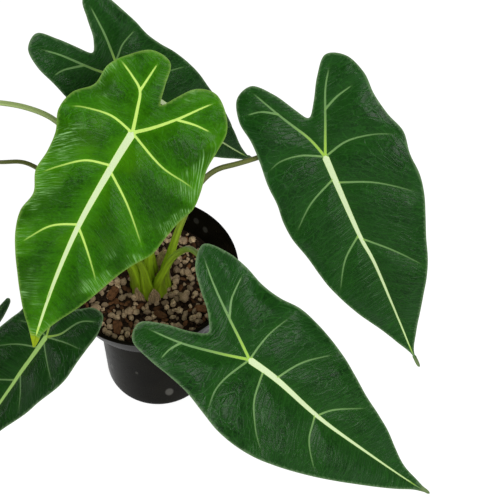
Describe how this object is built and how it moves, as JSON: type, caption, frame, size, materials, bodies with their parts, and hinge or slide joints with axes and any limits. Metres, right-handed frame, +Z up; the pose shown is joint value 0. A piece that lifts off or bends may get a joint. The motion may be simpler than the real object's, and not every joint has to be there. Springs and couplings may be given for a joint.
{
  "type": "potted alocasia",
  "caption": "Arrow-leaved houseplant in a tapered nursery pot, with tall arching petioles, drooping dark green blades and pale midribs.",
  "frame": {"origin": "centre of the underside of the pot, on the surface that the pot stands on", "axes": "+Z up along the pot's axis, -Y towards the side that the newest, bright green leaf faces, +X to that side's right"},
  "size_m": [0.4249, 0.2649, 0.3368],
  "materials": {
    "pot_plastic": "black, semi-gloss, lightly scuffed",
    "potting_mix": "crumbly dark brown peat and fine bark",
    "rootstock": "fibrous, brown",
    "petiole_bright": "satin, yellow-green, finely ribbed",
    "petiole_pale": "satin, pale cream-green, finely ribbed",
    "petiole_olive": "satin, olive green, finely ribbed",
    "blade_bright": "satin, bright yellow-green with cream veins",
    "blade_dark": "velvety satin, deep green with cream veins",
    "papery_sheath": "dry, straw-coloured, fibrous",
    "pumice": "porous, pinkish beige",
    "bark": "rough, reddish brown"
  },
  "bodies": {
    "root": {"nursery_pot": "pot_plastic", "potting_mix": "potting_mix", "rootstock": "rootstock", "petiole_front": "petiole_bright", "petiole_rear": "petiole_olive", "petiole_right": "petiole_olive", "petiole_low_right": "petiole_olive", "petiole_low_left": "petiole_olive", "petiole_high_left": "petiole_pale", "petiole_mid_left": "petiole_olive", "petiole_side_left": "petiole_olive", "blade_front": "blade_bright", "blade_rear": "blade_dark", "blade_right": "blade_dark", "blade_low_right": "blade_dark", "blade_low_left": "blade_dark", "blade_high_left": "blade_dark", "blade_mid_left": "blade_dark", "blade_side_left": "blade_dark", "sheath_1": "papery_sheath", "sheath_2": "papery_sheath", "sheath_3": "papery_sheath", "pumice_01": "pumice", "pumice_02": "pumice", "pumice_03": "pumice", "pumice_04": "pumice", "pumice_05": "pumice", "pumice_06": "pumice", "pumice_07": "pumice", "pumice_08": "pumice", "pumice_09": "pumice", "pumice_10": "pumice", "pumice_11": "pumice", "pumice_12": "pumice", "bark_01": "bark", "bark_02": "bark", "bark_03": "bark", "bark_04": "bark", "bark_05": "bark", "bark_06": "bark", "bark_07": "bark", "bark_08": "bark"}
  },
  "joints": []
}
